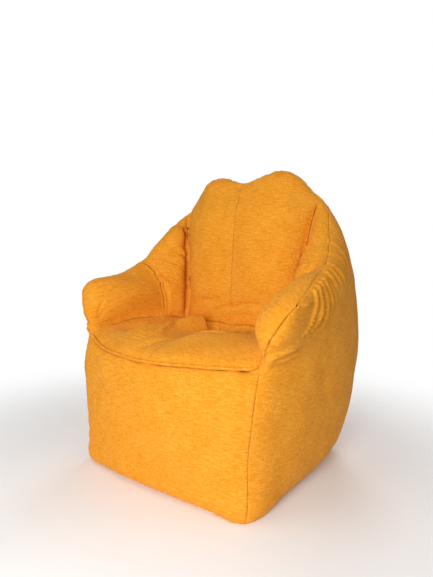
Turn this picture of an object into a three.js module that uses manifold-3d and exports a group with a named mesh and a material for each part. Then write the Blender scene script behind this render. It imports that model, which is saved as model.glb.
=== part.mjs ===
// Bean bag armchair: a sewn cover of cloth panels over a zipped liner full of loose beads.
// Millimetres, +Z up, the sitter faces -Y. The origin is the middle of the base, on the floor.
import * as THREE from "three";
import { LoftGeometry } from "three/addons/geometries/LoftGeometry.js";
import { mergeGeometries, mergeVertices } from "three/addons/utils/BufferGeometryUtils.js";
import Module from "manifold-3d";

const wasm = await Module();
wasm.setup();

// ---------------------------------------------------------------- driving dimensions
const COVER = 1.8; // cover cloth with its backing
const SEAM_GAP = 0.6; // each panel stops this short of its seam line
const LINER_DEPTH = 4; // from the cover's outer face to the liner
const LINER = 0.8; // liner cloth
const BEADS_DEPTH = 6.2; // from the cover's outer face to the beads
const PIPING_RADIUS = 5.5;
const PIPING_PROUD = 0.9; // air between the piping and the two panels that hold it
const PIPING_SHORT = 0.12; // how much of its last stretch the piping leaves out at each corner
const WELL = 9; // how much deeper the liner lies behind the rear zip
const ZIP_OPENING = 5; // half the opening that the rear zip fills
const ZIP_BELOW = 6.5; // from the cover's outer face in to the rear zip's tapes
const ZIP_LEAN = THREE.MathUtils.degToRad(22); // the cover leans out above the zip
const COVER_ZIP = 430;
const LINER_ZIP = 400;
const LINER_ZIP_Y = 150;
const LINER_ZIP_Z = 6.6;

// Segments of the cloth grids. Panels that share a seam share its count.
const HALF_WIDTH = 5; // from the middle to a corner seam
const WALL = 6; // up a corner seam, from the base to the seat's corner
const ARM_FACE = 6; // up the arm's face, its cross seam and the side of the back
const ARM_FRONT = 4; // along the arm, in front of its cross seam
const ARM_REAR = 5; // along the arm, behind its cross seam

// ---------------------------------------------------------------- seams
const at = (x, y, z) => new THREE.Vector3(x, y, z);

function seam(count, ...points) {
  const line = new THREE.CatmullRomCurve3(points.map((p) => at(...p)), false, "centripetal");
  return line.getSpacedPoints(count);
}

const mirrored = (line) => line.map((p) => at(-p.x, p.y, p.z));
const backwards = (line) => [...line].reverse();
const joined = (first, second) => [...first, ...second.slice(1)];
const acrossFromMirror = (half) => joined(backwards(mirrored(half)), half);

// Corners of the right half, named for where the seams meet.
const SEAT_CORNER = [306, -266, 382];
const ARM_TIP = [378, -240, 520];
const ARM_ELBOW = [354, -30, 611];
const CROSS_FOOT = [243, 5, 421];
const SEAT_REAR = [224, 96, 398];
const SHOULDER = [258, 168, 822];
const BASE_FRONT = [284, -300, 0];
const BASE_REAR = [256, 290, 60];
const SEAT_FRONT_MIDDLE = [0, -338, 345];
const SEAT_REAR_MIDDLE = [0, 56, 402];
const BACK_TOP_MIDDLE = [0, 116, 893];

const baseFront = seam(HALF_WIDTH, [0, -328, 0], [150, -324, 0], BASE_FRONT);
const baseSide = seam(ARM_FRONT + ARM_REAR, BASE_FRONT, [306, -130, 0], [306, 30, 0], [290, 180, 0],
  [266, 272, 6], BASE_REAR);
for (const p of baseSide) p.z = Math.max(p.z, 0);
const zipLine = seam(HALF_WIDTH, [0, BASE_REAR[1], BASE_REAR[2]], BASE_REAR);
const frontCorner = seam(WALL, BASE_FRONT, [290, -299, 50], [293, -301, 130], [298, -299, 210],
  [304, -289, 300], SEAT_CORNER);
const rearCorner = seam(WALL + ARM_FACE, BASE_REAR, [292, 298, 130], [316, 304, 260], [326, 300, 400],
  [322, 282, 540], [306, 246, 680], [284, 204, 770], SHOULDER);
const seatFront = seam(HALF_WIDTH, SEAT_FRONT_MIDDLE, [90, -332, 346], [170, -318, 351], [245, -296, 363],
  SEAT_CORNER);
const seatSideFront = seam(ARM_FRONT, SEAT_CORNER, [290, -190, 410], [270, -110, 425], CROSS_FOOT);
const seatSideRear = seam(ARM_REAR, CROSS_FOOT, [235, 50, 411], SEAT_REAR);
const seatRear = seam(HALF_WIDTH, SEAT_REAR_MIDDLE, [110, 62, 404], [180, 76, 403], SEAT_REAR);
const seatMiddle = seam(ARM_FRONT + ARM_REAR, SEAT_FRONT_MIDDLE, [0, -290, 378], [0, -150, 386], [0, 0, 380],
  SEAT_REAR_MIDDLE);
const armFace = seam(ARM_FACE, SEAT_CORNER, [326, -284, 420], [356, -276, 470], ARM_TIP);
const crossSeam = seam(ARM_FACE, CROSS_FOOT, [250, 12, 473], [264, 14, 520], [294, 6, 568], [326, -8, 602],
  ARM_ELBOW);
const armTopFront = seam(ARM_FRONT, ARM_TIP, [378, -176, 552], [368, -100, 588], ARM_ELBOW);
const armTopRear = seam(ARM_REAR, ARM_ELBOW, [338, 48, 656], [314, 108, 719], [290, 146, 782], SHOULDER);
const backSide = seam(ARM_FACE, SEAT_REAR, [225, 101, 500], [229, 108, 600], [240, 118, 680], [248, 138, 765],
  SHOULDER);
const backMiddle = seam(ARM_FACE, SEAT_REAR_MIDDLE, [0, 54, 480], [0, 60, 600], [0, 68, 740], [0, 90, 830],
  BACK_TOP_MIDDLE);
const backTop = seam(HALF_WIDTH, BACK_TOP_MIDDLE, [40, 132, 908], [105, 142, 919], [150, 147, 912], [204, 155, 880], SHOULDER);

// ---------------------------------------------------------------- cloth panels
// A panel's grid fills the space between four seams, and swells by a bulge in its middle.
// Its rows run from the bottom seam to the top one, and the cloth faces right-of-row cross up-the-rows.
function panel(bottom, top, left, right, bulge) {
  const across = bottom.length - 1;
  const up = left.length - 1;
  const swell = (t) => Math.pow(Math.sin(Math.PI * t), 0.5);
  return left.map((_, i) => bottom.map((_, j) => {
    const u = j / across;
    const v = i / up;
    const between = at(0, 0, 0)
      .addScaledVector(bottom[j], 1 - v).addScaledVector(top[j], v)
      .addScaledVector(left[i], 1 - u).addScaledVector(right[i], u)
      .addScaledVector(bottom[0], -(1 - u) * (1 - v)).addScaledVector(bottom[across], -u * (1 - v))
      .addScaledVector(top[0], -(1 - u) * v).addScaledVector(top[across], -u * v);
    const isEdge = i === 0 || j === 0 || i === up || j === across;
    return isEdge ? between : between.addScaledVector(at(...bulge), swell(u) * swell(v));
  }));
}

const mirrorPanel = (rows) => rows.map((row) => backwards(mirrored(row)));

const frontCornerAndArm = joined(frontCorner, armFace);
const right = {
  side_panel: panel(baseSide, joined(armTopFront, armTopRear), frontCornerAndArm, rearCorner, [31, 0, 0]),
  arm_front_panel: panel(backwards(seatSideFront), backwards(armTopFront), crossSeam, armFace, [-26, -22, 22]),
  arm_rear_panel: panel(backwards(seatSideRear), backwards(armTopRear), backSide, crossSeam, [-14, -26, 30]),
  seat_panel: panel(seatFront, seatRear, seatMiddle, joined(seatSideFront, seatSideRear), [0, 0, 10]),
  back_panel: panel(seatRear, backTop, backMiddle, backSide, [0, -26, 8]),
};

const panels = {
  front_panel: panel(acrossFromMirror(baseFront), acrossFromMirror(seatFront), mirrored(frontCorner),
    frontCorner, [0, -6, 0]),
  rear_panel: panel(mirrored(acrossFromMirror(zipLine)), mirrored(acrossFromMirror(backTop)), rearCorner,
    mirrored(rearCorner), [0, 44, 0]),
  base_panel: panel(acrossFromMirror(zipLine), acrossFromMirror(baseFront), backwards(mirrored(baseSide)),
    backwards(baseSide), [0, 0, 0]),
};
for (const [name, rows] of Object.entries(right)) {
  panels[name + "_right"] = rows;
  panels[name + "_left"] = mirrorPanel(rows);
}
// The base lies flat on the floor, apart from the row that turns up to the zip.
for (const row of panels.base_panel.slice(1)) for (const p of row.slice(1, -1)) p.z = 0;

// ---------------------------------------------------------------- the skin that the panels make together
const spot = (p) => [p.x, p.y, p.z].map((x) => Math.round(x * 20)).join();

// At each grid point, the faces of every panel that meets there, and from them the step that
// moves the point out by one unit from all of those faces at once.
const faces = new Map();
for (const rows of Object.values(panels))
  for (let i = 0; i + 1 < rows.length; i++)
    for (let j = 0; j + 1 < rows[0].length; j++) {
      const [a, b, c, d] = [rows[i][j], rows[i][j + 1], rows[i + 1][j + 1], rows[i + 1][j]];
      for (const corners of [[a, b, d], [b, c, d]]) {
        const facing = new THREE.Triangle(...corners).getNormal(at(0, 0, 0));
        for (const p of corners) faces.set(spot(p), [...(faces.get(spot(p)) ?? []), facing]);
      }
    }

const SOFTENING = 0.1; // keeps the step short where the faces fold sharply
const outward = new Map();
for (const [place, normals] of faces) {
  const own = SOFTENING * normals.length;
  const spread = [own, 0, 0, 0, own, 0, 0, 0, own];
  const sum = at(0, 0, 0);
  for (const n of normals) {
    n.toArray().forEach((a, i) => n.toArray().forEach((b, j) => (spread[3 * i + j] += a * b)));
    sum.addScaledVector(n, 1 + SOFTENING);
  }
  outward.set(place, sum.applyMatrix3(new THREE.Matrix3().fromArray(spread).invert()));
}

const onZipLine = (p) => Math.abs(p.y - BASE_REAR[1]) < 1e-3 && Math.abs(p.z - BASE_REAR[2]) < 1e-3;

// The same grid, further in by a depth. The inner layers make a well behind the zip.
function sunk(rows, depth, well) {
  return rows.map((row) => row.map((p) =>
    p.clone().addScaledVector(outward.get(spot(p)), -(depth + (onZipLine(p) ? well : 0)))));
}

const sheet = (rows) => new LoftGeometry(rows, { closed: false });

// A closed body whose wall is the whole skin, further in by a depth.
function skinSolid(depth) {
  return solid(mergeGeometries(Object.values(panels).map((rows) => sheet(sunk(rows, depth, WELL)))));
}

function solid(geometry) {
  geometry.deleteAttribute("normal");
  geometry.deleteAttribute("uv");
  const merged = mergeVertices(geometry, 1e-3);
  return new wasm.Manifold(new wasm.Mesh({
    numProp: 3,
    vertProperties: merged.attributes.position.array,
    triVerts: new Uint32Array(merged.index.array),
  }));
}

function geometryOf(body) {
  const mesh = body.getMesh();
  return new THREE.BufferGeometry()
    .setAttribute("position", new THREE.BufferAttribute(mesh.vertProperties, 3))
    .setIndex(new THREE.BufferAttribute(mesh.triVerts, 1));
}

const block = (x, y, z, cx = 0, cy = 0, cz = 0) =>
  solid(new THREE.BoxGeometry(x, y, z).translate(cx, cy, cz));

// ---------------------------------------------------------------- one panel as a solid
// The cloth stops short of each seam, and of the zip's opening by more.
function trimmed(rows, firstRowGap) {
  const top = rows.length - 1;
  const side = rows[0].length - 1;
  const towards = (p, q, gap) => q.clone().sub(p).setLength(gap);
  return rows.map((row, i) => row.map((p, j) => {
    const q = p.clone();
    if (i === 0) q.add(towards(p, rows[1][j], firstRowGap));
    if (i === top) q.add(towards(p, rows[top - 1][j], SEAM_GAP));
    if (j === 0) q.add(towards(p, row[1], SEAM_GAP));
    if (j === side) q.add(towards(p, row[side - 1], SEAM_GAP));
    return q;
  }));
}

function rim(rows) {
  const first = rows[0];
  const last = rows[rows.length - 1];
  return [
    ...first.slice(0, -1),
    ...rows.slice(0, -1).map((row) => row[row.length - 1]),
    ...backwards(last).slice(0, -1),
    ...backwards(rows).slice(0, -1).map((row) => row[0]),
  ];
}

function panelGeometry(rows, firstRowGap) {
  const outer = trimmed(rows, firstRowGap);
  const inner = outer.map((row, i) => row.map((p, j) =>
    p.clone().addScaledVector(outward.get(spot(rows[i][j])), -COVER)));
  const lining = sheet(inner);
  lining.index.array.reverse();
  const edge = new LoftGeometry([rim(inner), rim(outer)], { closed: true });
  return mergeGeometries([sheet(outer), lining, edge]);
}

// ---------------------------------------------------------------- finishes
const cloth = new THREE.MeshStandardMaterial({ color: 0xe39a2d, roughness: 0.95, metalness: 0 });
const linerCloth = new THREE.MeshStandardMaterial({ color: 0xe9e6df, roughness: 0.9, metalness: 0 });
const beads = new THREE.MeshStandardMaterial({ color: 0xf6f6f4, roughness: 0.8, metalness: 0 });
const tape = new THREE.MeshStandardMaterial({ color: 0xd08a24, roughness: 0.9, metalness: 0 });
const nylon = new THREE.MeshStandardMaterial({ color: 0xc98422, roughness: 0.45, metalness: 0 });
const zinc = new THREE.MeshStandardMaterial({ color: 0x9a9a98, roughness: 0.3, metalness: 1 });

const chair = new THREE.Group();

function piece(name, geometry, material, parent = chair) {
  const mesh = new THREE.Mesh(geometry, material);
  mesh.name = name;
  parent.add(mesh);
  return mesh;
}

// ---------------------------------------------------------------- cover
for (const [name, rows] of Object.entries(panels)) {
  const meetsZip = name === "rear_panel" || name === "base_panel";
  piece(name, panelGeometry(rows, meetsZip ? ZIP_OPENING : SEAM_GAP), cloth);
}

function pipingGeometry() {
  const line = acrossFromMirror(seatFront).map((p) =>
    p.clone().addScaledVector(outward.get(spot(p)), PIPING_RADIUS + PIPING_PROUD));
  line[0].lerp(line[1], PIPING_SHORT);
  line[line.length - 1].lerp(line[line.length - 2], PIPING_SHORT);
  const route = new THREE.CatmullRomCurve3(line, false, "centripetal");
  const section = new THREE.Shape().absarc(0, 0, PIPING_RADIUS, 0, 2 * Math.PI);
  return new THREE.ExtrudeGeometry(section, { steps: 24, curveSegments: 5, extrudePath: route });
}
piece("seat_front_piping", pipingGeometry(), cloth);

// ---------------------------------------------------------------- liner and beads
// The liner's filling slot, which its zip closes, is in its base.
const SLOT = 13; // wide enough for the slider
const linerSlot = block(LINER_ZIP, SLOT, 8, 0, LINER_ZIP_Y, LINER_DEPTH);
const liner = skinSolid(LINER_DEPTH).subtract(skinSolid(LINER_DEPTH + LINER)).subtract(linerSlot);
piece("inner_liner", geometryOf(liner), linerCloth);

const zipWell = block(LINER_ZIP + 16, 38, 22, 0, LINER_ZIP_Y, 0);
piece("bead_fill", geometryOf(skinSolid(BEADS_DEPTH).subtract(zipWell)), beads);

// ---------------------------------------------------------------- zips
// A zip lies in its own frame: it runs along X, its tapes lie across Y, and +Z faces out.
const COIL = { near: 0.6, far: 2.9, height: 2.6 };
const TAPE = { near: 3.2, width: 12, thick: 0.8 };
const SLIDER = { length: 11, half: 4.4, plate: 1.2, inside: 1.6, web: 0.6 };
const STOP = 4; // length of an end stop
const PULL = { length: 24, width: 6, thick: 1.2, bar: 1.4, eye: 3.8, eyeWidth: 3.4 };
const BRIDGE = { half: 3.6, width: 1.6, bar: 1, clear: 1.15 };
const PIVOT_Z = SLIDER.inside + SLIDER.plate + BRIDGE.clear;

function sliderBody(hasBridge) {
  const { length, half, plate, inside, web } = SLIDER;
  const whole = 2 * (inside + plate);
  const channel = block(length + 2, 2 * (half - 0.8), 2 * inside);
  const tapeSlots = block(length + 2, 2 * half + 2, 2 * 0.7);
  const centreWeb = block(length - 4, web, 2 * inside + 0.4);
  let body = block(length, 2 * half, whole).subtract(channel).subtract(tapeSlots).add(centreWeb);
  if (hasBridge) {
    const top = PIVOT_Z + BRIDGE.clear + BRIDGE.bar;
    const arch = block(2 * BRIDGE.half, BRIDGE.width, top - inside, 0, 0, (top + inside) / 2)
      .subtract(block(2 * (BRIDGE.half - BRIDGE.bar), 4, 2 * BRIDGE.clear, 0, 0, PIVOT_Z));
    body = body.add(arch);
  }
  return geometryOf(body);
}

function pullTab() {
  const { length, width, thick, bar, eye, eyeWidth } = PULL;
  const outline = new THREE.Shape();
  outline.moveTo(bar / 2, -width / 2 + 1);
  outline.lineTo(bar / 2, width / 2 - 1);
  outline.lineTo(-eye, width / 2);
  outline.lineTo(-length + width / 2, width / 2);
  outline.absarc(-length + width / 2, 0, width / 2, Math.PI / 2, 1.5 * Math.PI, false);
  outline.lineTo(-eye, -width / 2);
  const eyeHole = new THREE.Path();
  eyeHole.moveTo(-bar / 2, -eyeWidth / 2);
  eyeHole.lineTo(-bar / 2 - eye, -eyeWidth / 2);
  eyeHole.lineTo(-bar / 2 - eye, eyeWidth / 2);
  eyeHole.lineTo(-bar / 2, eyeWidth / 2);
  outline.holes.push(eyeHole);
  return new THREE.ExtrudeGeometry(outline, { depth: thick, bevelEnabled: false, curveSegments: 6 })
    .translate(0, 0, -thick / 2);
}

function zip(name, length, hasPull) {
  const group = new THREE.Group();
  for (const [side, way] of [["upper", 1], ["lower", -1]]) {
    const coil = new THREE.BoxGeometry(length - 12, COIL.far - COIL.near, COIL.height);
    piece(`${name}_coil_${side}`, coil.translate(0, (way * (COIL.near + COIL.far)) / 2, 0), nylon, group);
    const strip = new THREE.BoxGeometry(length, TAPE.width, TAPE.thick);
    piece(`${name}_tape_${side}`, strip.translate(0, way * (TAPE.near + TAPE.width / 2), 0), tape, group);
  }
  for (const [end, way] of [["closed", -1], ["open", 1]]) {
    const stop = piece(`${name}_stop_${end}`, new THREE.BoxGeometry(STOP, 6, 1), zinc, group);
    stop.position.set(way * (length / 2 - 12), 0, COIL.height / 2 + 0.8);
  }
  const slider = new THREE.Group();
  slider.position.x = -(length / 2 - 12 - STOP / 2 - SLIDER.length / 2 - 1);
  piece(`${name}_slider`, sliderBody(hasPull), zinc, slider);
  if (hasPull) piece(`${name}_pull`, pullTab(), zinc, slider).position.z = PIVOT_Z;
  group.add(slider);
  return group;
}

const coverZip = zip("cover_zip", COVER_ZIP, true);
coverZip.rotation.set(Math.PI / 2 - ZIP_LEAN, Math.PI, 0);
coverZip.position.set(0, BASE_REAR[1] - ZIP_BELOW * Math.cos(ZIP_LEAN), BASE_REAR[2] + ZIP_BELOW * Math.sin(ZIP_LEAN));
chair.add(coverZip);

const linerZip = zip("liner_zip", LINER_ZIP, false);
linerZip.rotation.set(Math.PI, 0, 0);
linerZip.position.set(0, LINER_ZIP_Y, LINER_ZIP_Z);
chair.add(linerZip);

// ---------------------------------------------------------------- the origin goes to the middle of the base
chair.updateMatrixWorld(true);
const middle = new THREE.Box3().setFromObject(chair, true).getCenter(at(0, 0, 0));
chair.position.y = -middle.y;

export default chair;
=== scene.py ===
"""A bean bag armchair: sewn cloth panels drawn tight over a liner full of beads."""
import math

import bmesh
import bpy
import numpy as np
from mathutils import Matrix, Vector, noise
from mathutils.bvhtree import BVHTree
from mathutils.kdtree import KDTree


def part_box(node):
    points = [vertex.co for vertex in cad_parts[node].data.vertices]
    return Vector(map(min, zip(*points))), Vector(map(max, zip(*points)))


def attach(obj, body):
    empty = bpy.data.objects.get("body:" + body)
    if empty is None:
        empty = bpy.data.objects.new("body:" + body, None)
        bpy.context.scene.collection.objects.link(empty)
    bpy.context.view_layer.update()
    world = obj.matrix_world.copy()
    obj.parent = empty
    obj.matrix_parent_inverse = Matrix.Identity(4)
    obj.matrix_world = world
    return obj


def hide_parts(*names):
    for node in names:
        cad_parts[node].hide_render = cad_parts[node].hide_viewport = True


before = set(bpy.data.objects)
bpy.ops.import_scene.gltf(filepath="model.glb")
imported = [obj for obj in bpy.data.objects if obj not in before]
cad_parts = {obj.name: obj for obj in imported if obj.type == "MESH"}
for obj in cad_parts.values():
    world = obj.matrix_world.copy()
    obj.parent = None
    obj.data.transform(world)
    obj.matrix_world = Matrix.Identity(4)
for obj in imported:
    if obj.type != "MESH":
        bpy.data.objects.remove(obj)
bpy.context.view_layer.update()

BODY = "chair"
SIDES = {"left": -1, "right": 1}
PANELS = ["front_panel", "rear_panel", "base_panel"] + [
    f"{part}_panel_{side}"
    for part in ("side", "arm_front", "arm_rear", "seat", "back")
    for side in SIDES
]

CLOTH = 0.0018  # thickness of the cover cloth


# ------------------------------------------------------------------ camera, light and floor
CAMERA_PLACE = (0.8314, -1.1691, 0.6274)
CAMERA_TURN = math.radians(35.777)
CAMERA_DOWN = math.radians(3.817)
CAMERA_ROLL = math.radians(0.8)
LENS = 28.19  # mm
SENSOR = 36  # mm
SKY = 0.33  # strength of the even light from all round
FLOOR_REACH = 1.5  # the pale floor fades into the backdrop by here
FLOOR_FULL = 0.4  # and is at its full strength this far out
BACKDROP_RADIUS = 12


def camera():
    data = bpy.data.cameras.new("camera")
    eye = bpy.data.objects.new("camera", data)
    bpy.context.scene.collection.objects.link(eye)
    data.sensor_width = SENSOR
    data.lens = LENS
    level = math.cos(CAMERA_DOWN)
    forward = Vector((-math.sin(CAMERA_TURN) * level, math.cos(CAMERA_TURN) * level, -math.sin(CAMERA_DOWN)))
    across = forward.cross(Vector((0, 0, 1))).normalized()
    up = across.cross(forward)
    tilted_across = across * math.cos(CAMERA_ROLL) + up * math.sin(CAMERA_ROLL)
    tilted_up = up * math.cos(CAMERA_ROLL) - across * math.sin(CAMERA_ROLL)
    turned = Matrix((tilted_across, tilted_up, -forward)).transposed()
    eye.matrix_world = Matrix.Translation(CAMERA_PLACE) @ turned.to_4x4()
    bpy.context.scene.camera = eye


def soft_light(name, place, target, size, power, colour=(1, 1, 1)):
    """A round lamp, its size in metres and its power in watts, that the camera doesn't see."""
    data = bpy.data.lights.new(name, "AREA")
    data.shape = "DISK"
    data.size = size
    data.energy = power
    data.color = colour
    lamp = bpy.data.objects.new(name, data)
    lamp.location = place
    lamp.visible_camera = False
    lamp.rotation_euler = (Vector(target) - Vector(place)).to_track_quat("-Z", "Y").to_euler()
    bpy.context.scene.collection.objects.link(lamp)


def studio():
    middle = (0, 0, 0.45)
    soft_light("key_light", (0.66, -1.82, 0.78), (0, -0.3, 0.38), 0.9, 31, (1, 0.99, 0.97))
    soft_light("top_light", (-0.4, -0.9, 3.0), middle, 1.2, 10)
    soft_light("fill_light", (2.6, 1.6, 1.4), middle, 1.6, 9, (1, 0.99, 0.97))
    soft_light("back_light", (-1.1, 3.0, 1.7), middle, 1.8, 46)
    world = bpy.data.worlds.new("studio")
    bpy.context.scene.world = world
    world.use_nodes = True
    background = world.node_tree.nodes["Background"]
    background.inputs["Color"].default_value = (1, 1, 1, 1)
    background.inputs["Strength"].default_value = SKY
    bm = bmesh.new()
    bmesh.ops.create_grid(bm, x_segments=1, y_segments=1, size=FLOOR_REACH)
    floor = new_object("floor", bm)
    floor.data.materials.append(plain_floor())
    bm = bmesh.new()
    bmesh.ops.create_icosphere(bm, subdivisions=4, radius=BACKDROP_RADIUS)
    backdrop = new_object("backdrop", bm)
    backdrop.data.materials.append(white_backdrop())
    backdrop.visible_diffuse = backdrop.visible_glossy = backdrop.visible_shadow = False


# ------------------------------------------------------------------ materials
class Wire:
    """A value in a material's node tree. Each sum done with it adds a node."""

    def __init__(self, tree, socket):
        self.tree, self.socket = tree, socket

    def _math(self, operation, first, second=0.0):
        return self.tree.node("ShaderNodeMath", {"operation": operation}, {0: first, 1: second})

    def __add__(self, other):
        return self._math("ADD", self, other)

    def __sub__(self, other):
        return self._math("SUBTRACT", self, other)

    def __rsub__(self, other):
        return self._math("SUBTRACT", other, self)

    def __mul__(self, other):
        return self._math("MULTIPLY", self, other)

    def most(self, other):
        return self._math("MAXIMUM", self, other)

    def sine(self):
        return self._math("SINE", self)


# where a colour mix node keeps its share, its two colours and its result
MIX_SHARE, MIX_FIRST, MIX_SECOND, MIX_COLOUR = 0, 6, 7, 2


class Finish:
    """A material, and one method that adds any node to it."""

    def __init__(self, name):
        self.material = bpy.data.materials.new(name)
        self.material.use_nodes = True
        self.tree = self.material.node_tree
        self.tree.nodes.clear()

    def node(self, kind, settings=None, inputs=None, output=0):
        made = self.tree.nodes.new(kind)
        for key, value in (settings or {}).items():
            if key == "stops":
                ramp = made.color_ramp.elements
                while len(ramp) < len(value):
                    ramp.new(1.0)
                for stop, (place, colour) in zip(ramp, value):
                    stop.position, stop.color = place, (*colour, 1)
            else:
                setattr(made, key, value)
        for key, value in (inputs or {}).items():
            if isinstance(value, Wire):
                self.tree.links.new(value.socket, made.inputs[key])
            else:
                made.inputs[key].default_value = value
        return Wire(self, made.outputs[output])

    def surface(self, **inputs):
        named = {name.replace("_", " "): value for name, value in inputs.items()}
        self.node_output(self.node("ShaderNodeBsdfPrincipled", {}, named))
        return self.material

    def node_output(self, shader):
        out = self.tree.nodes.new("ShaderNodeOutputMaterial")
        self.tree.links.new(shader.socket, out.inputs["Surface"])

    def noise(self, where, scale, detail=2.0, rough=0.5):
        inputs = {"Vector": where, "Scale": scale, "Detail": detail, "Roughness": rough}
        return self.node("ShaderNodeTexNoise", {}, inputs)

    def moved(self, where, scale=(1, 1, 1), turn=(0, 0, 0)):
        return self.node("ShaderNodeMapping", {}, {"Vector": where, "Scale": scale, "Rotation": turn})

    def mixed(self, share, first, second):
        inputs = {MIX_SHARE: share, MIX_FIRST: first, MIX_SECOND: second}
        return self.node("ShaderNodeMix", {"data_type": "RGBA"}, inputs, output=MIX_COLOUR)

    def bump(self, height, strength, distance, normal=None):
        inputs = {"Height": height, "Strength": strength, "Distance": distance}
        if normal is not None:
            inputs["Normal"] = normal
        return self.node("ShaderNodeBump", {}, inputs)


def plain_floor():
    finish = Finish("pale_floor")
    where = finish.node("ShaderNodeTexCoord", output="Object")
    shade = finish.noise(where, 3.0) * 0.02 + 0.9
    colour = finish.node("ShaderNodeCombineColor", {}, {0: shade, 1: shade, 2: shade})
    far = finish.node("ShaderNodeVectorMath", {"operation": "LENGTH"}, {0: where}, output=1)
    shown = finish.node("ShaderNodeMapRange", {"interpolation_type": "SMOOTHERSTEP"},
                        {0: far, 1: FLOOR_FULL, 2: FLOOR_REACH, 3: 1.0, 4: 0.0})
    return finish.surface(Base_Color=colour, Roughness=0.9, Alpha=shown)


def white_backdrop():
    finish = Finish("white_backdrop")
    glow = finish.node("ShaderNodeEmission", {}, {"Color": (1, 1, 1, 1), "Strength": 1.0})
    finish.node_output(glow)
    return finish.material


THREADS = 620.0  # of the cover's weave, to a metre
MUSTARD = (0.74, 0.276, 0.0145)
MUSTARD_DEEP = (0.58, 0.182, 0.005)
MUSTARD_PALE = (0.84, 0.368, 0.044)


def cover_cloth(name, on_panel):
    """A thick, slubby weave. On a panel its threads run with the cut; rolled round a cord they wind."""
    finish = Finish(name)
    if on_panel:
        flat = finish.node("ShaderNodeUVMap", {"uv_map": "cut"})
    else:
        flat = finish.node("ShaderNodeTexCoord", output="Object")
    warp = finish.noise(finish.moved(flat, (THREADS, THREADS * 0.12, 1)), 1.0, 1.0)
    weft = finish.noise(finish.moved(flat, (THREADS * 0.12, THREADS, 1)), 1.0, 1.0)
    weave = warp.most(weft)
    mottle = finish.noise(flat, 150.0, 3.0, 0.65)
    slubs = finish.noise(finish.moved(flat, (38, 260, 1)), 1.0, 2.0)
    patches = finish.noise(flat, 14.0, 2.0)
    tone = weave * 0.5 + mottle * 0.6 + slubs * 0.6 + patches * 0.25 - 0.45
    colour = finish.node("ShaderNodeValToRGB", {"stops": [
        (0.25, MUSTARD_DEEP), (0.5, MUSTARD), (0.75, MUSTARD_PALE)]}, {0: tone})
    fine = finish.bump(weave, 0.5, 0.0012)
    normal = finish.bump(mottle, 0.25, 0.0016, fine)
    return finish.surface(Base_Color=colour, Roughness=0.95, Normal=normal, Sheen_Weight=0.12,
                          Sheen_Roughness=0.5, Sheen_Tint=(1.0, 0.7, 0.3, 1), Specular_IOR_Level=0.12)


def liner_cloth():
    """Thin white nonwoven cloth with its grid of welded points."""
    finish = Finish("liner_cloth")
    where = finish.node("ShaderNodeTexCoord", output="Object")
    points = finish.node("ShaderNodeTexVoronoi", {}, {"Vector": where, "Scale": 420.0, "Randomness": 0.1})
    fibres = finish.noise(where, 300.0, 4.0)
    colour = finish.mixed(fibres, (0.70, 0.70, 0.68, 1), (0.88, 0.88, 0.86, 1))
    return finish.surface(Base_Color=colour, Roughness=0.8, Normal=finish.bump(points, 0.5, 0.0006))


def foam_beads():
    """Expanded foam beads, packed close."""
    finish = Finish("foam_beads")
    where = finish.node("ShaderNodeTexCoord", output="Object")
    beads = finish.node("ShaderNodeTexVoronoi", {}, {"Vector": where, "Scale": 260.0})
    # each bead's colour darkens from its middle to its rim: painted shade in the gaps between the beads
    colour = finish.mixed(beads, (0.95, 0.95, 0.94, 1), (0.70, 0.70, 0.70, 1))
    return finish.surface(Base_Color=colour, Roughness=0.6, Normal=finish.bump(1 - beads, 1.0, 0.002))


COIL_PITCH = 0.0015
ZIP_MUSTARD = (0.60, 0.24, 0.02)
ZIP_WHITE = (0.80, 0.80, 0.78)


def zip_tape(name, tint):
    """Closely woven tape, with fine ribs across the zip and streaks along it."""
    finish = Finish(name)
    where = finish.node("ShaderNodeTexCoord", output="Object")
    rib = (finish.node("ShaderNodeSeparateXYZ", {}, {0: where}) * 5200.0).sine()
    cross = finish.noise(finish.moved(where, (900, 2600, 2600)), 1.0, 2.0)
    height = rib * 0.25 + cross
    # the colour follows the height: the streaks along the tape are its own tone, and the darker dips between
    # the ribs are painted shade
    shade = tuple(channel * 0.7 for channel in tint)
    colour = finish.mixed(height, (*shade, 1), (*tint, 1))
    return finish.surface(Base_Color=colour, Roughness=0.75, Normal=finish.bump(height, 0.6, 0.0004))


def zip_coil(name, tint):
    """A nylon coil, whose turns lie close beside each other."""
    finish = Finish(name)
    where = finish.node("ShaderNodeTexCoord", output="Object")
    turns = (finish.node("ShaderNodeSeparateXYZ", {}, {0: where}) * (2 * math.pi / COIL_PITCH)).sine()
    # the gaps between the turns are painted darker than their tops: painted shade
    shade = tuple(channel * 0.45 for channel in tint)
    colour = finish.mixed(turns * 0.5 + 0.5, (*shade, 1), (*tint, 1))
    return finish.surface(Base_Color=colour, Roughness=0.35, Normal=finish.bump(turns, 0.9, 0.0006))


def zip_metal():
    """Die-cast metal with a satin plating, a little scuffed."""
    finish = Finish("zip_metal")
    where = finish.node("ShaderNodeTexCoord", output="Object")
    scuffs = finish.noise(finish.moved(where, (900, 260, 260)), 1.0, 4.0, 0.7)
    colour = finish.mixed(scuffs, (0.50, 0.49, 0.47, 1), (0.72, 0.71, 0.69, 1))
    return finish.surface(Base_Color=colour, Metallic=1.0, Roughness=scuffs * 0.3 + 0.18,
                          Normal=finish.bump(scuffs, 0.15, 0.0002))


def zip_finishes():
    """Gives the zips' own parts their finishes. What isn't tape or coil is metal."""
    metal = zip_metal()
    finishes = {
        owner: {
            "tape": zip_tape(f"{owner}_zip_tape", tint),
            "coil": zip_coil(f"{owner}_zip_coil", tint),
        }
        for owner, tint in (("cover", ZIP_MUSTARD), ("liner", ZIP_WHITE))
    }
    for node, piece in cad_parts.items():
        owner, _, part = node.partition("_zip_")
        if part:
            piece.data.materials.clear()
            piece.data.materials.append(finishes[owner].get(part.split("_")[0], metal))


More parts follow.
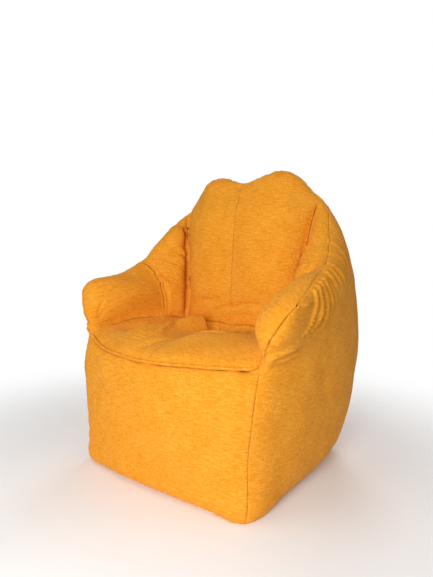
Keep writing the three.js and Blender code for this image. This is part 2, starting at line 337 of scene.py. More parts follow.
# ------------------------------------------------------------------ objects
def new_object(name, bm):
    mesh = bpy.data.meshes.new(name)
    bm.to_mesh(mesh)
    bm.free()
    made = bpy.data.objects.new(name, mesh)
    bpy.context.scene.collection.objects.link(made)
    return made


def only_selected(thing):
    bpy.ops.object.select_all(action="DESELECT")
    bpy.context.view_layer.objects.active = thing
    thing.select_set(True)


def coords(mesh):
    flat = np.empty(len(mesh.vertices) * 3)
    mesh.vertices.foreach_get("co", flat)
    return flat.reshape(-1, 3)


def set_coords(mesh, places):
    mesh.vertices.foreach_set("co", np.ascontiguousarray(places).ravel())
    mesh.update()


def normals(mesh):
    flat = np.empty(len(mesh.vertices) * 3)
    mesh.vertex_normals.foreach_get("vector", flat)
    return flat.reshape(-1, 3)


def with_modifiers(thing):
    """The object's mesh, with its modifiers' result made real."""
    graph = bpy.context.evaluated_depsgraph_get()
    mesh = bpy.data.meshes.new_from_object(thing.evaluated_get(graph))
    thing.modifiers.clear()
    thing.data = mesh
    return mesh


def subdivided(thing, levels):
    rounder = thing.modifiers.new("rounder", "SUBSURF")
    rounder.levels = rounder.render_levels = levels
    return with_modifiers(thing)


# ------------------------------------------------------------------ the cover as one skin
NARROWEST = 0.004  # a face narrower than this belongs to a panel's rim
WELD_REACH = 0.0115  # the gap between neighbouring panels is less than this
CORNERS_MOVED = 0.8  # the share of its miss that a corner moves by in a round


def outer_faces(bm, name, number, beads):
    """Adds the outer side of a CAD panel, whose faces have the panel's number as their material."""
    own = bmesh.new()
    own.from_mesh(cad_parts[name].data)
    bmesh.ops.remove_doubles(own, verts=own.verts, dist=1e-5)
    hidden = []
    for face in own.faces:
        face.material_index = number
        longest = max(edge.calc_length() for edge in face.edges)
        middle = face.calc_center_median()
        faces_in = (middle - beads.find_nearest(middle)[0]).dot(face.normal) < 0
        if faces_in or face.calc_area() / longest < NARROWEST:
            hidden.append(face)
    bmesh.ops.delete(own, geom=hidden, context="FACES")
    mesh = bpy.data.meshes.new(name + "_outer")
    own.to_mesh(mesh)
    own.free()
    bm.from_mesh(mesh)


def welded(bm, reach):
    """Joins the panels where their edges nearly meet."""
    rims = [v for v in bm.verts if v.is_boundary]
    places = np.array([v.co for v in rims])
    for v, place in zip(rims, places):
        near = np.linalg.norm(places - place, axis=1) < reach
        v.co = places[near].mean(axis=0)
    bmesh.ops.remove_doubles(bm, verts=rims, dist=1e-5)


def cover_skin():
    """The outer sides of all the cover's panels as one closed mesh, coarse and with flat faces."""
    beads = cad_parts["bead_fill"].data
    tree = BVHTree.FromPolygons([v.co for v in beads.vertices], [p.vertices for p in beads.polygons])
    bm = bmesh.new()
    for number, name in enumerate(PANELS):
        outer_faces(bm, name, number, tree)
    bmesh.ops.join_triangles(bm, faces=bm.faces, cmp_materials=True, angle_face_threshold=math.pi,
                             angle_shape_threshold=math.pi, topology_influence=2.0)
    welded(bm, WELD_REACH)
    return new_object("cover_skin", bm)


def through_its_corners(skin, rounds):
    """Moves the corners out so that the rounded skin passes nearly through where they were."""
    goal = coords(skin.data)
    count = len(goal)
    for _ in range(rounds):
        trial = skin.copy()
        trial.data = skin.data.copy()
        bpy.context.scene.collection.objects.link(trial)
        reached = coords(subdivided(trial, 2))[:count]
        bpy.data.objects.remove(trial)
        set_coords(skin.data, coords(skin.data) + CORNERS_MOVED * (goal - reached))


# ------------------------------------------------------------------ the cloth's own flat pattern
PATTERN_STEP = (1.37, 0.71)  # sets the patterns apart, so that no two panels show the same threads


def panel_edges(mesh):
    """The seams: each pair of panels, with the edges that they share."""
    panel_of = [face.material_index for face in mesh.polygons]
    faces_of = {}
    for face in mesh.polygons:
        for key in face.edge_keys:
            faces_of.setdefault(key, []).append(panel_of[face.index])
    seams = {}
    for key, numbers in faces_of.items():
        if len(numbers) == 2 and numbers[0] != numbers[1]:
            seams.setdefault(tuple(sorted(PANELS[n] for n in numbers)), []).append(key)
    return seams


def flattened(skin):
    """Lays each panel flat, at its real size, with its top up."""
    mesh = skin.data
    shared = {key for keys in panel_edges(mesh).values() for key in keys}
    for edge in mesh.edges:
        edge.use_seam = edge.key in shared
    mesh.uv_layers.new(name="cut")
    only_selected(skin)
    bpy.ops.object.mode_set(mode="EDIT")
    bpy.ops.mesh.select_all(action="SELECT")
    bpy.ops.uv.unwrap(method="ANGLE_BASED", margin=0)
    bpy.ops.object.mode_set(mode="OBJECT")
    skin.select_set(False)
    cut = mesh.uv_layers["cut"].data
    places = coords(mesh)
    for number, name in enumerate(PANELS):
        faces = [face for face in mesh.polygons if face.material_index == number]
        loops = [i for face in faces for i in face.loop_indices]
        flat = np.array([cut[i].uv for i in loops])
        solid = places[[mesh.loops[i].vertex_index for i in loops]]
        flat_area = sum(abs(polygon_area([cut[i].uv for i in face.loop_indices])) for face in faces)
        scale = math.sqrt(sum(face.area for face in faces) / flat_area)
        fit = np.linalg.lstsq(solid - solid.mean(axis=0), flat - flat.mean(axis=0), rcond=None)[0]
        lies_flat = name.startswith(("seat", "base"))
        up = fit[1] if lies_flat else fit[2]
        turn = math.pi / 2 - math.atan2(up[1], up[0])
        c, s = math.cos(turn) * scale, math.sin(turn) * scale
        apart = [number * step for step in PATTERN_STEP]
        turned = (flat - flat.mean(axis=0)) @ np.array([[c, s], [-s, c]]) + apart
        for i, uv in zip(loops, turned):
            cut[i].uv = uv


def polygon_area(corners):
    return sum(a[0] * b[1] - b[0] * a[1] for a, b in zip(corners, [*corners[1:], corners[0]])) / 2


# ------------------------------------------------------------------ the zip's slit
SLIT_HALF = 0.0032
ZIP_CLEAR = 0.0005  # between the zip's tapes and the cloth over them
LAID_REACH = 0.024  # the cloth lies on the zip for about this far above and below it
LAID_END = 0.03  # and lifts off over this length past its ends
CALM_REACH = 0.045  # folds and puckers fade out about this far from the zip
SLIT_REACH = 0.02
SLIT_END = 0.012  # the slit narrows to nothing over this length
SLIT_GIVE = 0.012  # the cloth above and below it gives way over this width


def middle_of(*nodes):
    corners = [Vector(corner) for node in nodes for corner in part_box(node)]
    return sum(corners, Vector()) / len(corners)


ZIP_MIDDLE = np.array(middle_of("cover_zip_tape_upper", "cover_zip_tape_lower"))
ZIP_UP = np.array((middle_of("cover_zip_tape_upper") - middle_of("cover_zip_tape_lower")).normalized())
ZIP_OUT = np.array([0, ZIP_UP[2], -ZIP_UP[1]])
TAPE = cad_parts["cover_zip_tape_upper"].data
ZIP_HALF = (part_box("cover_zip_tape_upper")[1][0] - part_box("cover_zip_tape_upper")[0][0]) / 2
ZIP_FACE = max((np.array(corner.co) - ZIP_MIDDLE) @ ZIP_OUT for corner in TAPE.vertices)


def laid_on_zip(places):
    """Brings the cloth beside the zip down onto its tapes."""
    off = places - ZIP_MIDDLE
    share = np.exp(-((off @ ZIP_UP) / LAID_REACH) ** 4)
    share *= np.clip((ZIP_HALF + LAID_END - np.abs(off[:, 0])) / LAID_END, 0, 1)
    share *= np.linalg.norm(off[:, 1:], axis=1) < 2.5 * LAID_REACH
    want = ZIP_FACE + CLOTH + ZIP_CLEAR
    return places + ZIP_OUT * ((want - off @ ZIP_OUT) * share)[:, None]


def calm(places):
    """Nought along the zip, which keeps the cloth as flat as it is sewn, and one away from it."""
    off = places - ZIP_MIDDLE
    off[:, 0] = np.maximum(0, np.abs(off[:, 0]) - ZIP_HALF)
    return 1 - np.exp(-((np.linalg.norm(off, axis=1) / CALM_REACH) ** 4))


def opened(mesh, towards):
    """Draws a panel's edge back from the zip's middle, so that a slit shows the zip."""
    places = coords(mesh)
    off = places - ZIP_MIDDLE
    up = off @ ZIP_UP
    inside = np.clip((ZIP_HALF - np.abs(off[:, 0])) / SLIT_END, 0, 1)
    near = (np.linalg.norm(off[:, 1:], axis=1) < SLIT_REACH) & (inside > 0)
    share = np.clip(1 - (up * towards) / SLIT_GIVE, 0, 1) * inside
    places[near] += ZIP_UP * (towards * SLIT_HALF * share)[near, None]
    set_coords(mesh, places)


# ------------------------------------------------------------------ seams
SEAM_STEP = 0.001  # between the places that a seam's line is kept as


def chained(keys):
    """One seam's edges as a run of corners in order."""
    ends = {}
    for a, b in keys:
        ends.setdefault(a, []).append(b)
        ends.setdefault(b, []).append(a)
    run = [min(v for v, near in ends.items() if len(near) == 1)]
    seen = set(run)
    while True:
        onward = [v for v in ends[run[-1]] if v not in seen]
        if not onward:
            return run
        run.append(onward[0])
        seen.add(onward[0])


class Seam:
    """The line that two panels are sewn along, from one corner of the skin to another."""

    def __init__(self, mesh, keys):
        line = coords(mesh)[chained(keys)]
        steps = np.linalg.norm(np.diff(line, axis=0), axis=1)
        self.length = steps.sum()
        along = np.concatenate(([0], np.cumsum(steps)))
        self.along = np.arange(0, self.length, SEAM_STEP)
        self.line = np.column_stack([np.interp(self.along, along, line[:, k]) for k in range(3)])
        self.tree = KDTree(len(self.line))
        for i, place in enumerate(self.line):
            self.tree.insert(place, i)
        self.tree.balance()

    def reach(self, places, limit=0.07):
        """The places near the seam: their numbers, distances from it and distances along it."""
        low, high = self.line.min(axis=0) - limit, self.line.max(axis=0) + limit
        near = np.flatnonzero(((places > low) & (places < high)).all(axis=1))
        found = [self.tree.find(places[i]) for i in near]
        away = np.array([gap for _, _, gap in found])
        where = self.along[[i for _, i, _ in found]]
        close = away < limit
        return near[close], away[close], where[close]


# How each kind of seam is drawn in, in mm: its depth and width, its soft hollow, its puckers, and the
# lift of the cloth that is turned back inside it.
SEAM_SHAPES = {
    ("front", "seat"): (7, 6, 2, 0.3, 0),
    ("front", "side"): (0.3, 2.4, 0.6, 0.8, 0.3),
    ("arm_front", "side"): (1.2, 2.4, 2, 0.7, 0.6),
    ("arm_rear", "side"): (1.0, 2.4, 2, 0.9, 0.4),
    ("arm_front", "seat"): (3.5, 4, 5, 0.6, 0.3),
    ("arm_rear", "seat"): (4, 5, 5, 0.6, 0),
    ("arm_rear", "back"): (9, 7, 4, 0.4, 0),
    ("arm_front", "arm_rear"): (0.8, 2, 0, 0.5, 2.4),
    ("back", "seat"): (4, 6, 3, 0.8, 0),
    ("seat", "seat"): (1.0, 2.4, 2, 1.2, 0.4),
    ("back", "back"): (0.3, 2.4, 0.4, 0.5, 0.5),
    ("back", "rear"): (1.2, 2.6, 3, 1.4, 0.5),
    ("rear", "side"): (1.2, 2.6, 2, 1.2, 0.5),
    ("base", "front"): (1, 2.4, 1, 0.8, 0),
    ("base", "side"): (1, 2.4, 1, 0.8, 0),
    ("base", "rear"): (0, 1, 0, 0.0, 0),
}
SOFT_HOLLOW = 0.017  # how far a seam's soft hollow reaches
PUCKER_REACH = 0.022
PUCKER_GAIN = 2.2  # brings the beat of the puckers up to about one
ALLOWANCE = 0.006  # where the cloth turned back inside the seam lifts it most
END_REACH = 0.04  # a seam's groove gets shallower this near to its ends
END_GROOVE = 0.3  # to this share of its depth


def kind_of(seam):
    return tuple(sorted(name.split("_panel")[0] for name in seam))


def seams_of(mesh):
    return {pair: Seam(mesh, keys) for pair, keys in panel_edges(mesh).items()}


def pucker_beat(along, away, number):
    """Uneven puckers: long ones, which differ from seam to seam, with short ones over them."""
    long_ones = noise.noise(Vector((along * 70, away * 14, number * 7.3)))
    short_ones = noise.noise(Vector((along * 150, away * 20, 3.1)))
    return long_ones + 0.5 * short_ones


def drawn_in(places, outward, seams):
    """Pulls the cloth in along each seam, with small puckers that fade away from it.

    Where seams meet, the strongest of each effect counts, not their sum.
    """
    groove, rise, beats = np.zeros(len(places)), np.zeros(len(places)), np.zeros(len(places))
    for number, (pair, seam) in enumerate(sorted(seams.items())):
        depth, width, hollow, pucker, lift = (value / 1000 for value in SEAM_SHAPES[kind_of(pair)])
        near, away, along = seam.reach(places)
        own_rise = lift * np.exp(-((away - ALLOWANCE) / (0.5 * ALLOWANCE)) ** 2)
        own_groove = depth * np.exp(-(away / width) ** 1.5) + hollow * np.exp(-(away / SOFT_HOLLOW) ** 2)
        from_end = np.clip(np.minimum(along, seam.length - along) / END_REACH, 0, 1)
        own_groove *= END_GROOVE + (1 - END_GROOVE) * from_end
        beat = np.array([pucker_beat(s, d, number) for s, d in zip(along, away)])
        own_beat = pucker * PUCKER_GAIN * beat * np.minimum(1, away / ALLOWANCE)
        own_beat *= np.exp(-away / PUCKER_REACH)
        rise[near] = np.maximum(rise[near], own_rise)
        groove[near] = np.maximum(groove[near], own_groove)
        stronger = np.abs(own_beat) > np.abs(beats[near])
        beats[near] = np.where(stronger, own_beat, beats[near])
    return places + outward * ((rise - groove + beats) * calm(places))[:, None]


EASE_REACH = 0.02
EASE_WIDE = 1.6  # times as far at the ends of the front's upright seams
EASE_ROUNDS = 9


def eased(skin, seams):
    """Smooths the cloth where several seams meet, which would otherwise stand up in a peak."""
    places = coords(skin.data)
    close = np.zeros(len(places), bool)
    for pair, seam in seams.items():
        wide = EASE_WIDE if kind_of(pair) == ("front", "side") else 1
        for end in (0, -1):
            close |= np.linalg.norm(places - seam.line[end], axis=1) < EASE_REACH * wide
    bm = bmesh.new()
    bm.from_mesh(skin.data)
    bm.verts.ensure_lookup_table()
    knot = [bm.verts[i] for i in np.flatnonzero(close)]
    for _ in range(EASE_ROUNDS):
        bmesh.ops.smooth_vert(bm, verts=knot, factor=0.5, use_axis_x=True, use_axis_y=True, use_axis_z=True)
    bm.to_mesh(skin.data)
    bm.free()


# ------------------------------------------------------------------ folds
def smooth_run(points, count=24):
    """Evenly spread places on a smooth curve through a few points, which are given in mm."""
    knots = np.array(points, float) / 1000
    padded = np.vstack([2 * knots[0] - knots[1], knots, 2 * knots[-1] - knots[-2]])
    run = []
    for t in np.linspace(0, len(knots) - 1 - 1e-9, count):
        i = int(t)
        u = t - i
        a, b, c, d = padded[i:i + 4]
        run.append(0.5 * (2 * b + (c - a) * u + (2 * a - 5 * b + 4 * c - d) * u * u
                          + (3 * b - a - 3 * c + d) * u ** 3))
    return np.array(run)


RIDGE_SIDES = 0.9  # how strongly the cloth dips on each side of a crisp ridge
VARY_STEP = 3.7  # sets the variation of one fold in a fan apart from the next one's


class Folds:
    """Ridges and valleys pressed into the cloth, their points and sizes in mm.

    A fold's height is above zero for a ridge. Its ends are the shares of its length that it rises
    and fades over.
    """

    def __init__(self, mesh):
        self.places, self.outward = coords(mesh), normals(mesh)
        self.tree = BVHTree.FromPolygons(self.places.tolist(), [p.vertices[:] for p in mesh.polygons])
        self.step = np.zeros(len(self.places))
        self.drag = np.zeros_like(self.places)

    def press(self, points, width, height, ends=(0.25, 0.25), crisp=False):
        """One fold along a smooth line through the points."""
        run = np.array([self.tree.find_nearest(Vector(p))[0] for p in smooth_run(points)])
        width /= 1000
        low, high = run.min(axis=0) - 3 * width, run.max(axis=0) + 3 * width
        near = np.flatnonzero(((self.places > low) & (self.places < high)).all(axis=1))
        gaps = np.linalg.norm(self.places[near, None] - run[None], axis=2)
        best = gaps.argmin(axis=1)
        share = best / (len(run) - 1)
        off = gaps.min(axis=1) / width
        fade = np.minimum(1, share / ends[0]) * np.minimum(1, (1 - share) / ends[1])
        fade = fade * fade * (3 - 2 * fade)
        shape = np.exp(-off ** 2)
        if crisp:
            shape = (1 - RIDGE_SIDES * off ** 2) * shape
        self.step[near] += height / 1000 * fade * shape

    def swell(self, place, reach, height):
        """A soft lump, or a dent where the height is below zero."""
        middle = np.array(self.tree.find_nearest(Vector(place) / 1000)[0])
        gap = np.linalg.norm(self.places - middle, axis=1) / (reach / 1000)
        self.step += height / 1000 * np.exp(-gap ** 2)

    def pull(self, place, reach, by):
        """Softly moves the cloth round a place by a distance along each axis."""
        middle = np.array(self.tree.find_nearest(Vector(place) / 1000)[0])
        gap = np.linalg.norm(self.places - middle, axis=1) / (reach / 1000)
        self.drag += np.exp(-gap ** 2)[:, None] * np.array(by) / 1000

    def fan(self, guides, count, width, height, ends=(0.12, 0.4), jitter=0.15):
        """A row of crisp folds between guide folds, each a little different."""
        guides = np.array(guides, float)
        for k in range(count):
            t = k / (count - 1) * (len(guides) - 1)
            i = min(int(t), len(guides) - 2)
            points = guides[i] + (guides[i + 1] - guides[i]) * (t - i)
            vary = noise.noise(Vector((k * VARY_STEP, width, height)))
            own_width = width * (1 + jitter * vary)
            own_height = height * (1 + 2 * jitter * vary)
            self.press(points, own_width, own_height, ends, True)

    def result(self):
        return self.places + (self.drag + self.outward * self.step[:, None]) * calm(self.places)[:, None]


def on_side(points, turn):
    """A right-hand fold's points, mirrored where turn is -1 for the left."""
    return [(turn * x, y, z) for x, y, z in points]


def seat_folds(cloth):
    """The left half is pushed into a thick roll that stops short of the back, the right half lies lower."""
    roll = [(-125, -270, 370), (-120, -200, 390), (-105, -110, 395), (-90, -40, 400), (-75, 10, 400)]
    cloth.press(roll, 44, 18, (0.25, 0.02))
    cloth.press(roll[2:], 32, 24, (0.6, 0.02))
    cloth.press([(-230, -240, 395), (-205, -120, 410), (-190, -20, 410), (-150, 60, 405)], 34, -22)
    cloth.press([(-70, 60, 400), (-35, 40, 390), (-20, -20, 385), (5, -100, 385)], 13, -26, (0.15, 0.35))
    cloth.press([(225, -100, 410), (140, -150, 395), (70, -190, 390), (-10, -235, 385)], 38, 12, (0.3, 0.3))
    cloth.press([(190, 10, 405), (120, -50, 395), (60, -100, 390)], 30, -14)
    for points in (
        [(60, 30, 395), (75, -30, 390), (60, -75, 390)],
        [(100, 25, 400), (110, -25, 395), (90, -70, 390)],
        [(20, -150, 390), (70, -130, 390), (110, -95, 390)],
        [(30, -180, 390), (85, -165, 390), (140, -130, 390)],
        [(-60, -225, 380), (-90, -150, 395), (-120, -80, 400)],
    ):
        cloth.press(points, 11, 8, crisp=True)
    cloth.press([(-60, -300, 360), (-30, -240, 385), (0, -190, 385)], 14, -6)


def arm_folds(cloth, turn):
    """The gathers along the arm's outer seam, which curve down round the arm's tip to its foot."""
    cloth.press(on_side([(385, -185, 535), (385, -185, 510)], turn), 24, 8, (0.5, 0.5))
    gathers = (
        ([(320, 90, 690), (345, 125, 650), (360, 150, 600)], 12, 4),
        ([(335, 50, 650), (355, 90, 635), (365, 120, 610)], 9, 5),
        ([(350, 10, 620), (365, 50, 595), (380, 85, 560)], 9, 7),
        ([(355, -10, 610), (370, 20, 590), (380, 55, 550)], 8, 6),
        ([(360, -30, 600), (380, -5, 575), (385, 30, 535)], 8, 7),
        ([(365, -55, 590), (380, -30, 570), (390, 0, 530), (390, 5, 500)], 7, 5),
        ([(370, -75, 585), (385, -55, 560), (390, -30, 525), (390, -25, 480)], 10, 8),
        ([(370, -100, 580), (385, -75, 550), (390, -60, 515), (385, -65, 465), (365, -130, 425)], 9, 8),
        ([(375, -120, 570), (390, -110, 540), (390, -100, 510), (380, -115, 470), (350, -200, 425)], 11, 9),
        ([(375, -140, 560), (390, -135, 535), (385, -135, 510), (380, -160, 460), (340, -235, 415)], 9, 7),
    )
    # the left arm's gathers are fainter, and start further from its seam
    share, start, foot_start = (1, 0.08, 0.1) if turn > 0 else (0.6, 0.35, 0.6)
    for points, width, height in gathers:
        cloth.press(on_side(points, turn), width, height * share, (start, 0.35), True)
    for points, height in (
        ([(310, -245, 390), (335, -235, 410), (355, -190, 420), (375, -95, 435)], 7),
        ([(310, -245, 380), (325, -235, 385), (350, -175, 395), (370, -100, 400)], 6),
    ):
        cloth.press(on_side(points, turn), 12, height * share, (foot_start, 0.5), True)


def wing_folds(cloth, turn):
    """The gathers behind the arm's cross seam, which run down towards the back."""
    cloth.fan([on_side(points, turn) for points in (
        [(320, 20, 620), (260, 50, 605), (210, 95, 565)],
        [(305, 20, 600), (250, 50, 575), (225, 85, 530)],
        [(285, 25, 575), (245, 40, 545), (225, 70, 505)],
    )], 6, 7, 9)
    cloth.press(on_side([(270, 80, 670), (240, 100, 650), (220, 110, 630)], turn), 9, 6, crisp=True)
    cloth.press(on_side([(285, 60, 650), (250, 80, 630), (220, 105, 600)], turn), 9, 7, crisp=True)


def tip_folds(cloth, turn):
    """Two creases that spread from the foot of the arm's tip."""
    ends = (0.1 if turn > 0 else 0.5, 0.4)
    cloth.press(on_side([(310, -240, 430), (305, -225, 465), (300, -200, 505)], turn), 5, -4.5, ends)
    cloth.press(on_side([(310, -240, 405), (300, -225, 445), (285, -190, 480)], turn), 5, -4, ends)


def back_folds(cloth):
    """Wrinkles across the foot of the back, a dimple at its top, and the full corners beside it."""
    cloth.press([(-60, 60, 450), (0, 60, 470), (60, 60, 480), (140, 60, 480)], 7, -8)
    cloth.press([(-60, 60, 435), (0, 60, 450), (60, 60, 460), (140, 60, 460)], 10, 6)
    cloth.press([(-160, 65, 480), (-90, 60, 485), (-20, 60, 490)], 9, -6)
    cloth.press([(-15, 120, 885), (-5, 110, 870), (0, 105, 855)], 9, -9, (0.2, 0.4))
    cloth.swell((-40, 100, 850), 40, -5)
    cloth.swell((200, 140, 890), 35, 7)
    for height in (460, 520, 580, 640, 700):
        cloth.pull((-225, 85, height), 35, (14, -5, 0))
    for turn in SIDES.values():
        crease = [(6, 116, 888), (26, 112, 880), (48, 108, 868)]
        cloth.press(on_side(crease, turn), 8, -3, (0.1, 0.5))
        crease = [(140, 150, 915), (132, 135, 905), (120, 122, 890)]
        cloth.press(on_side(crease, turn), 8, -7, (0.1, 0.6))
        cloth.swell((turn * 140, 150, 900), 60, 12)
        cloth.swell((turn * 185, 125, 850), 45, -8)


def rear_folds(cloth):
    """Soft slack in the big rear panel, and a crease above the zip."""
    for turn in SIDES.values():
        for points, width, height in (
            ([(150, 300, 870), (120, 340, 780), (105, 360, 680)], 20, -4),
            ([(250, 300, 700), (205, 350, 600), (190, 360, 500)], 20, -4),
            ([(295, 330, 160), (210, 360, 205), (110, 370, 195)], 12, -4),
            ([(60, 330, 850), (75, 350, 760), (60, 360, 660)], 24, 4),
        ):
            cloth.press(on_side(points, turn), width, height)
        cloth.press(on_side([(30, 290, 890), (45, 320, 850), (50, 330, 800)], turn), 8, -3, crisp=True)
    cloth.press([(-170, 370, 125), (-60, 370, 140), (60, 370, 135), (180, 370, 125)], 9, -3, crisp=True)
    cloth.swell((0, 370, 420), 170, 8)


def low_folds(cloth):
    """Soft creases where the full corners of the base bulge over the floor."""
    for turn in SIDES.values():
        for height, reach in ((70, 120), (105, 95), (150, 80)):
            round_corner = [
                (290 - reach, -318, height + 6),
                (288, -305, height - 6),
                (300, -305 + reach, height + 4),
            ]
            cloth.press(on_side(round_corner, turn), 12, -2.5, (0.4, 0.4))


def settled_beads(cloth):
    """Where the beads have pushed the cover out of its even shape."""
    for turn in SIDES.values():
        cloth.swell((turn * 300, -310, 35), 80, 10 + 4 * turn)
    front_left_edge = [(-365, -250, 400), (-350, -275, 320), (-350, -275, 250), (-340, -270, 150)]
    cloth.press(front_left_edge, 60, 14, (0.1, 0.5))
    left_wing_top = [(-235, 115, 780), (-275, 90, 715), (-315, 45, 650), (-335, 0, 620)]
    cloth.press(left_wing_top, 42, 24, (0.3, 0.6))
    cloth.swell((-335, -90, 590), 65, -20)  # the dip between the left wing and the arm
    cloth.swell((280, -225, 470), 75, 26)  # the right arm's tip
    cloth.pull((130, -300, 360), 140, (0, 0, 14))  # the seat's front edge, up to its corner
    cloth.pull((-100, -300, 360), 120, (0, 0, 8))
    cloth.pull((305, -265, 375), 50, (-4, 0, -13))
    cloth.swell((330, -230, 30), 80, 12)  # the base's corners
    cloth.swell((-355, -260, 75), 50, -8)
    cloth.swell((-215, 130, 800), 30, 8)  # the left shoulder
    cloth.swell((-355, -215, 535), 55, 18)  # the left arm's tip


LUMPS = ((0.0045, 7), (0.0022, 19))  # each kind's height, and how many times a metre it comes
FLAT_BELOW = 0.05  # the lumps fade out under this height, down to the floor


def lumpy(places, outward):
    """The beads under the cloth are never quite even."""
    flat_on_floor = np.clip(places[:, 2] / FLAT_BELOW, 0, 1)
    lift = [sum(height * noise.noise(Vector(p * often)) for height, often in LUMPS) for p in places]
    return places + outward * (np.array(lift) * flat_on_floor * calm(places))[:, None]


# ------------------------------------------------------------------ pieces
def own_panels(skin):
    """Cuts the skin along its seams into one object for each sewn panel."""
    numbers = np.empty(len(skin.data.polygons), dtype=np.int32)
    skin.data.polygons.foreach_get("material_index", numbers)
    skin.data.attributes.new("panel", "INT", "FACE").data.foreach_set("value", numbers)
    only_selected(skin)
    bpy.ops.object.mode_set(mode="EDIT")
    bpy.ops.mesh.select_all(action="SELECT")
    bpy.ops.mesh.separate(type="MATERIAL")
    bpy.ops.object.mode_set(mode="OBJECT")
    pieces = {}
    for piece in list(bpy.context.selected_objects):
        marks = piece.data.attributes["panel"]
        name = PANELS[marks.data[0].value]
        piece.data.attributes.remove(marks)
        piece.name = name.replace("panel", "cloth")
        piece.data.name = piece.name
        piece.data.materials.clear()
        pieces[name] = piece
        piece.select_set(False)
    return pieces


def cut_size(mesh):
    """The panel's flat size before it was sewn: its width, its length and its area."""
    cut = mesh.uv_layers["cut"].data
    flat = np.array([loop.uv[:] for loop in cut])
    width, length = flat.max(axis=0) - flat.min(axis=0)
    area = sum(abs(polygon_area([cut[i].uv for i in face.loop_indices])) for face in mesh.polygons)
    return float(width), float(length), float(area)


def finished_panel(piece, node, cloth):
    """Gives a panel its thickness and its cloth, and puts it on the chair's body in place of the CAD panel.
    """
    if node == "rear_panel":
        opened(piece.data, 1)
    if node == "base_panel":
        opened(piece.data, -1)
    piece.data.materials.append(cloth)
    width, length, area = cut_size(piece.data)
    thick = piece.modifiers.new("thickness", "SOLIDIFY")
    thick.thickness, thick.offset = CLOTH, -1
    piece.data.shade_smooth()
    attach(piece, BODY)
    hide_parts(node)


INNER_GRID = 0.008  # the mesh size of the pieces inside the cover
LINER_DEPTH = 0.013
BEADS_DEPTH = 0.017
MOST_PUSHED = 0.03
PUSHES = 2
CREASE_ROOM = 0.028  # left free behind the deep creases on each side of the back
CREASE_REACH = 0.045


def inner_shell(name, coarse, places, cover, depth, creases):
    """A closed body, a little inside the cover. The skin's first corners are its coarse ones."""
    mesh = coarse.copy()
    mesh.name = name
    mesh.materials.clear()
    shell = bpy.data.objects.new(name, mesh)
    bpy.context.scene.collection.objects.link(shell)
    set_coords(mesh, places[: len(mesh.vertices)])
    grid = shell.modifiers.new("grid", "REMESH")
    grid.mode = "VOXEL"
    grid.voxel_size = INNER_GRID
    mesh = with_modifiers(shell)
    inside = coords(mesh) - normals(mesh) * depth
    for crease in creases:
        near, away, _ = crease.reach(inside, 2 * CREASE_REACH)
        inside[near] += np.array([0, CREASE_ROOM, 0]) * np.exp(-(away / CREASE_REACH) ** 2)[:, None]
    for _ in range(PUSHES):
        for i, place in enumerate(inside):
            nearest, outward, _, _ = cover.find_nearest(Vector(place))
            gap = (nearest - Vector(place)).dot(outward)
            if gap < depth:
                inside[i] -= np.array(outward) * min(depth - gap, MOST_PUSHED)
    set_coords(mesh, inside)
    mesh.shade_smooth()
    return shell


def finished_inner(shell, node, finish):
    """Gives a piece inside the cover its finish, and puts it on the chair's body in place of the CAD part.
    """
    shell.data.materials.append(finish)
    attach(shell, BODY)
    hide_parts(node)


PIPING_RADIUS = 0.0042
PIPING_LIFT = 0.0075  # above the bottom of its seam
PIPING_STEP = 6  # of the seam's own steps
PIPING_SHORT = 0.008  # at each end
LINE_EVENED = 6
LEAN_EVENED = 8


def evened(run, reach):
    """A run of values, each the mean of its neighbours within reach of it; the ends stay."""
    spans = [min(reach, i, len(run) - 1 - i) for i in range(len(run))]
    return np.array([run[i - span:i + span + 1].mean(axis=0) for i, span in enumerate(spans)])


def piping_line(seams, mesh):
    """The middle of the welt's cord, which stands out from the seam along the seat's front edge."""
    runs = [seam.line[::PIPING_STEP] for pair, seam in seams.items() if kind_of(pair) == ("front", "seat")]
    line = np.vstack(runs)
    line = line[line[:, 0].argsort()]
    line = line[np.abs(line[:, 0]) < np.abs(line[:, 0]).max() - PIPING_SHORT]
    tree = KDTree(len(mesh.vertices))
    for vertex in mesh.vertices:
        tree.insert(vertex.co, vertex.index)
    tree.balance()
    outward = np.array([mesh.vertices[tree.find(place)[1]].normal for place in line])
    return evened(line, LINE_EVENED) + evened(outward, LEAN_EVENED) * PIPING_LIFT


def piping(seams, mesh, cloth):
    """The cord-filled welt along the seat's front edge."""
    line = piping_line(seams, mesh)
    data = bpy.data.curves.new("seat_front_welt", "CURVE")
    data.dimensions = "3D"
    data.bevel_depth = PIPING_RADIUS
    data.bevel_resolution = 4
    data.use_fill_caps = True
    spline = data.splines.new("POLY")
    spline.points.add(len(line) - 1)
    for point, place in zip(spline.points, line):
        point.co = (*place, 1)
    rope = bpy.data.objects.new("seat_front_welt", data)
    bpy.context.scene.collection.objects.link(rope)
    tube = bpy.data.meshes.new_from_object(rope.evaluated_get(bpy.context.evaluated_depsgraph_get()))
    bpy.data.objects.remove(rope)
    welt = bpy.data.objects.new("seat_front_welt", tube)
    bpy.context.scene.collection.objects.link(welt)
    tube.shade_smooth()
    tube.materials.clear()
    tube.materials.append(cloth)
    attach(welt, BODY)
    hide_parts("seat_front_piping")


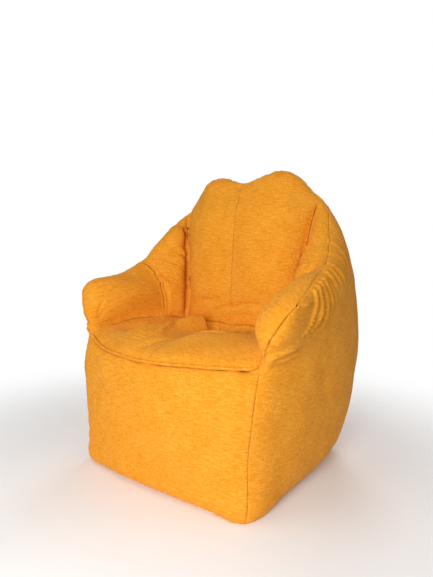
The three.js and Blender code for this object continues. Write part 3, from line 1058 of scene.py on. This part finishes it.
# ------------------------------------------------------------------ the chair
def sewn_shape():
    """The cover's skin, rounded and with its flat pattern, and the coarser mesh that it came from."""
    skin = cover_skin()
    through_its_corners(skin, 2)
    subdivided(skin, 1)
    flattened(skin)
    subdivided(skin, 2)
    coarse = skin.data.copy()
    subdivided(skin, 1)
    return skin, coarse


def filled_shape(skin):
    """Fills, folds and draws in the skin. Gives its seams and its places."""
    mesh = skin.data
    set_coords(mesh, lumpy(coords(mesh), normals(mesh)))
    shape = Folds(mesh)
    settled_beads(shape)
    set_coords(mesh, shape.result())
    folds = Folds(mesh)
    seat_folds(folds)
    back_folds(folds)
    low_folds(folds)
    rear_folds(folds)
    for turn in SIDES.values():
        arm_folds(folds, turn)
        wing_folds(folds, turn)
        tip_folds(folds, turn)
    set_coords(mesh, folds.result())
    seams = seams_of(mesh)
    set_coords(mesh, drawn_in(coords(mesh), normals(mesh), seams))
    eased(skin, seams)
    seams = seams_of(mesh)
    places = laid_on_zip(coords(mesh))
    places[:, 2] = np.maximum(places[:, 2], 0)
    set_coords(mesh, places)
    mesh.shade_smooth()
    return seams, places


skin, coarse = sewn_shape()
seams, places = filled_shape(skin)
corners_of_faces = [face.vertices[:] for face in skin.data.polygons]
cover_tree = BVHTree.FromPolygons(coords(skin.data).tolist(), corners_of_faces)
camera()
studio()
bpy.context.scene.view_settings.view_transform = "Standard"
cloth = cover_cloth("cover_cloth", on_panel=True)
rolled_cloth = cover_cloth("rolled_cover_cloth", on_panel=False)
for _ in PANELS:  # the cut below goes by a face's material, so each panel needs a place for one
    skin.data.materials.append(cloth)

creases = [seam for pair, seam in sorted(seams.items()) if kind_of(pair) == ("arm_rear", "back")]
liner = inner_shell("liner_bag", coarse, places, cover_tree, LINER_DEPTH, creases)
finished_inner(liner, "inner_liner", liner_cloth())
beads = inner_shell("bead_filling", coarse, places, cover_tree, BEADS_DEPTH, creases)
finished_inner(beads, "bead_fill", foam_beads())
piping(seams, skin.data, rolled_cloth)
for node, piece in own_panels(skin).items():
    finished_panel(piece, node, cloth)
zip_finishes()
